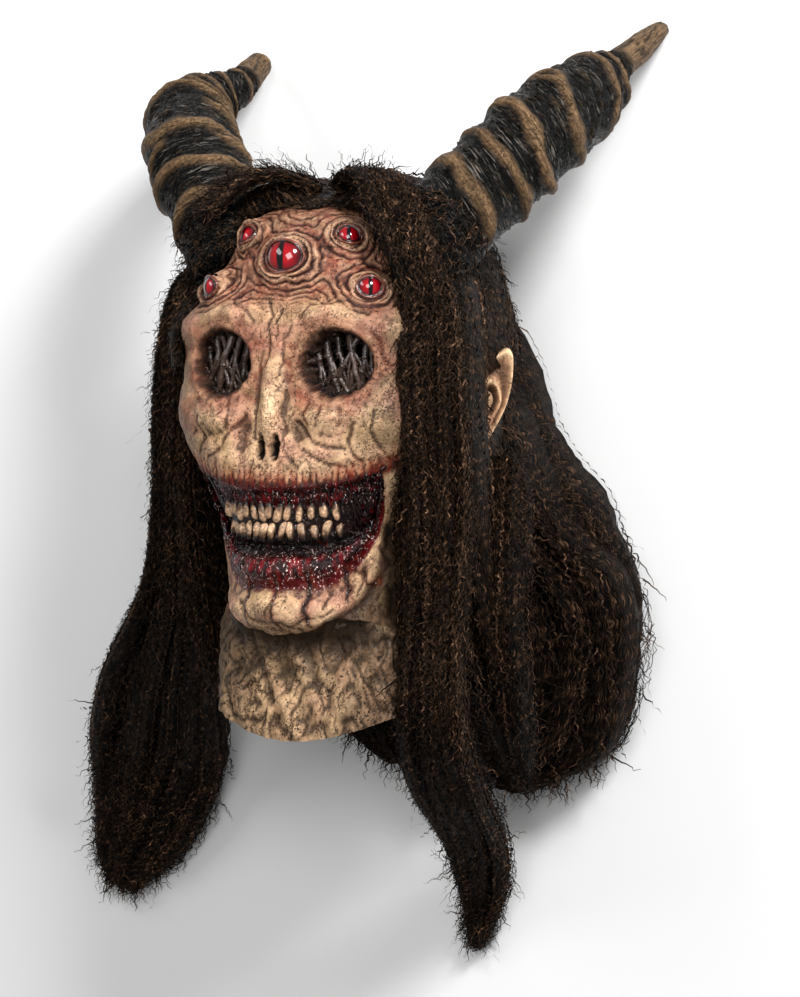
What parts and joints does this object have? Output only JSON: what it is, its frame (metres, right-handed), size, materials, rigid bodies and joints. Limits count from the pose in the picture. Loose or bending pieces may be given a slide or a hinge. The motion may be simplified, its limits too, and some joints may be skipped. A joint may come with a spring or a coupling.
{
  "type": "demon mask",
  "caption": "Latex overhead demon mask with ridged horns, glossy red eyes in a wrinkled forehead, sinewed sockets, a toothy grin and long crimped hair, lying on its back.",
  "frame": {"origin": "centre of the bounding box's underside, on the surface the mask lies on", "axes": "+X to the mask's left, +Y towards the crown, +Z the way the face looks, which is up as it lies on its back"},
  "size_m": [0.4244, 0.597, 0.2585],
  "materials": {
    "latex_skin": "painted latex, beige with brown washes, dark speckles and blood red round the mouth",
    "horn": "brown ridges over glossy black fibrous grooves",
    "red_eye": "clear gloss over red with a dark slit pupil",
    "crimped_hair": "near-black brown crimped synthetic hair with a soft sheen"
  },
  "bodies": {
    "root": {"mask_skin": "latex_skin", "eye_centre": "red_eye", "eye_upper_left": "red_eye", "eye_upper_right": "red_eye", "eye_lower_left": "red_eye", "eye_lower_right": "red_eye", "horn_left": "horn", "horn_right": "horn", "hair_crown": "crimped_hair", "hair_fall_back": "crimped_hair", "hair_lock_right_front": "crimped_hair", "hair_lock_left_front": "crimped_hair", "hair_lock_left_side": "crimped_hair"}
  },
  "joints": []
}
